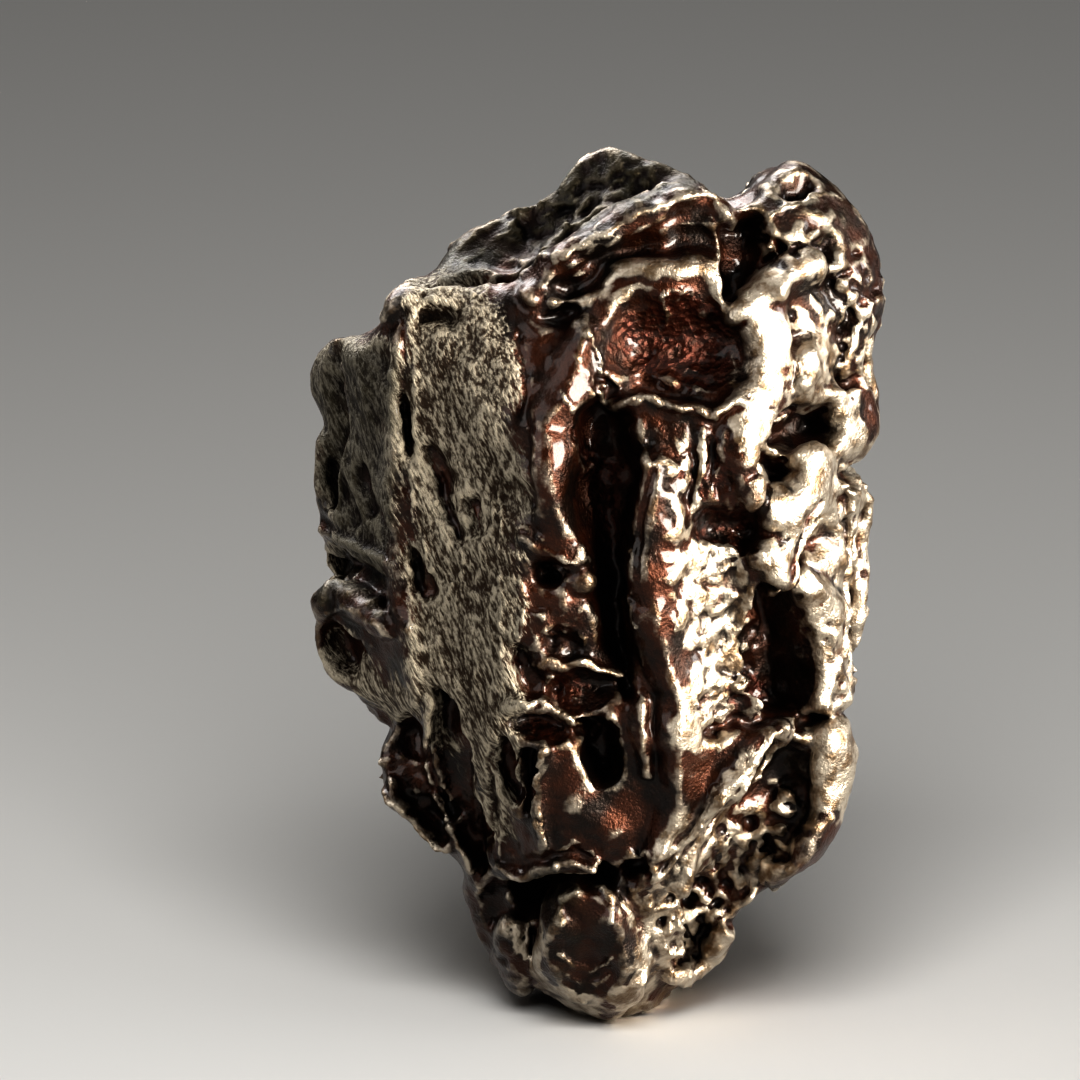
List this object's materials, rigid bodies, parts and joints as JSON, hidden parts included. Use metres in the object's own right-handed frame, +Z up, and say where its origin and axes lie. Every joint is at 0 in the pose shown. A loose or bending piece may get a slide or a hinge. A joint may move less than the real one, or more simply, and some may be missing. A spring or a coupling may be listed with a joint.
{
  "type": "iron meteorite",
  "caption": "Blocky lump of nickel-iron that narrows to a rounded toe, with a hollow top and a skin of gullies, ridges and thumbprint pits; stands on a small flat spot.",
  "frame": {"origin": "on the flat spot under the toe, at floor level", "axes": "+Z up through the lump, front face towards -Y, +X to the right seen from the front"},
  "size_m": [0.0571, 0.0442, 0.0873],
  "materials": {
    "weathered_iron": "brushed grey metal on the high spots, glossy red-brown oxide in the hollows"
  },
  "bodies": {
    "root": {"meteorite": "weathered_iron"}
  },
  "joints": []
}
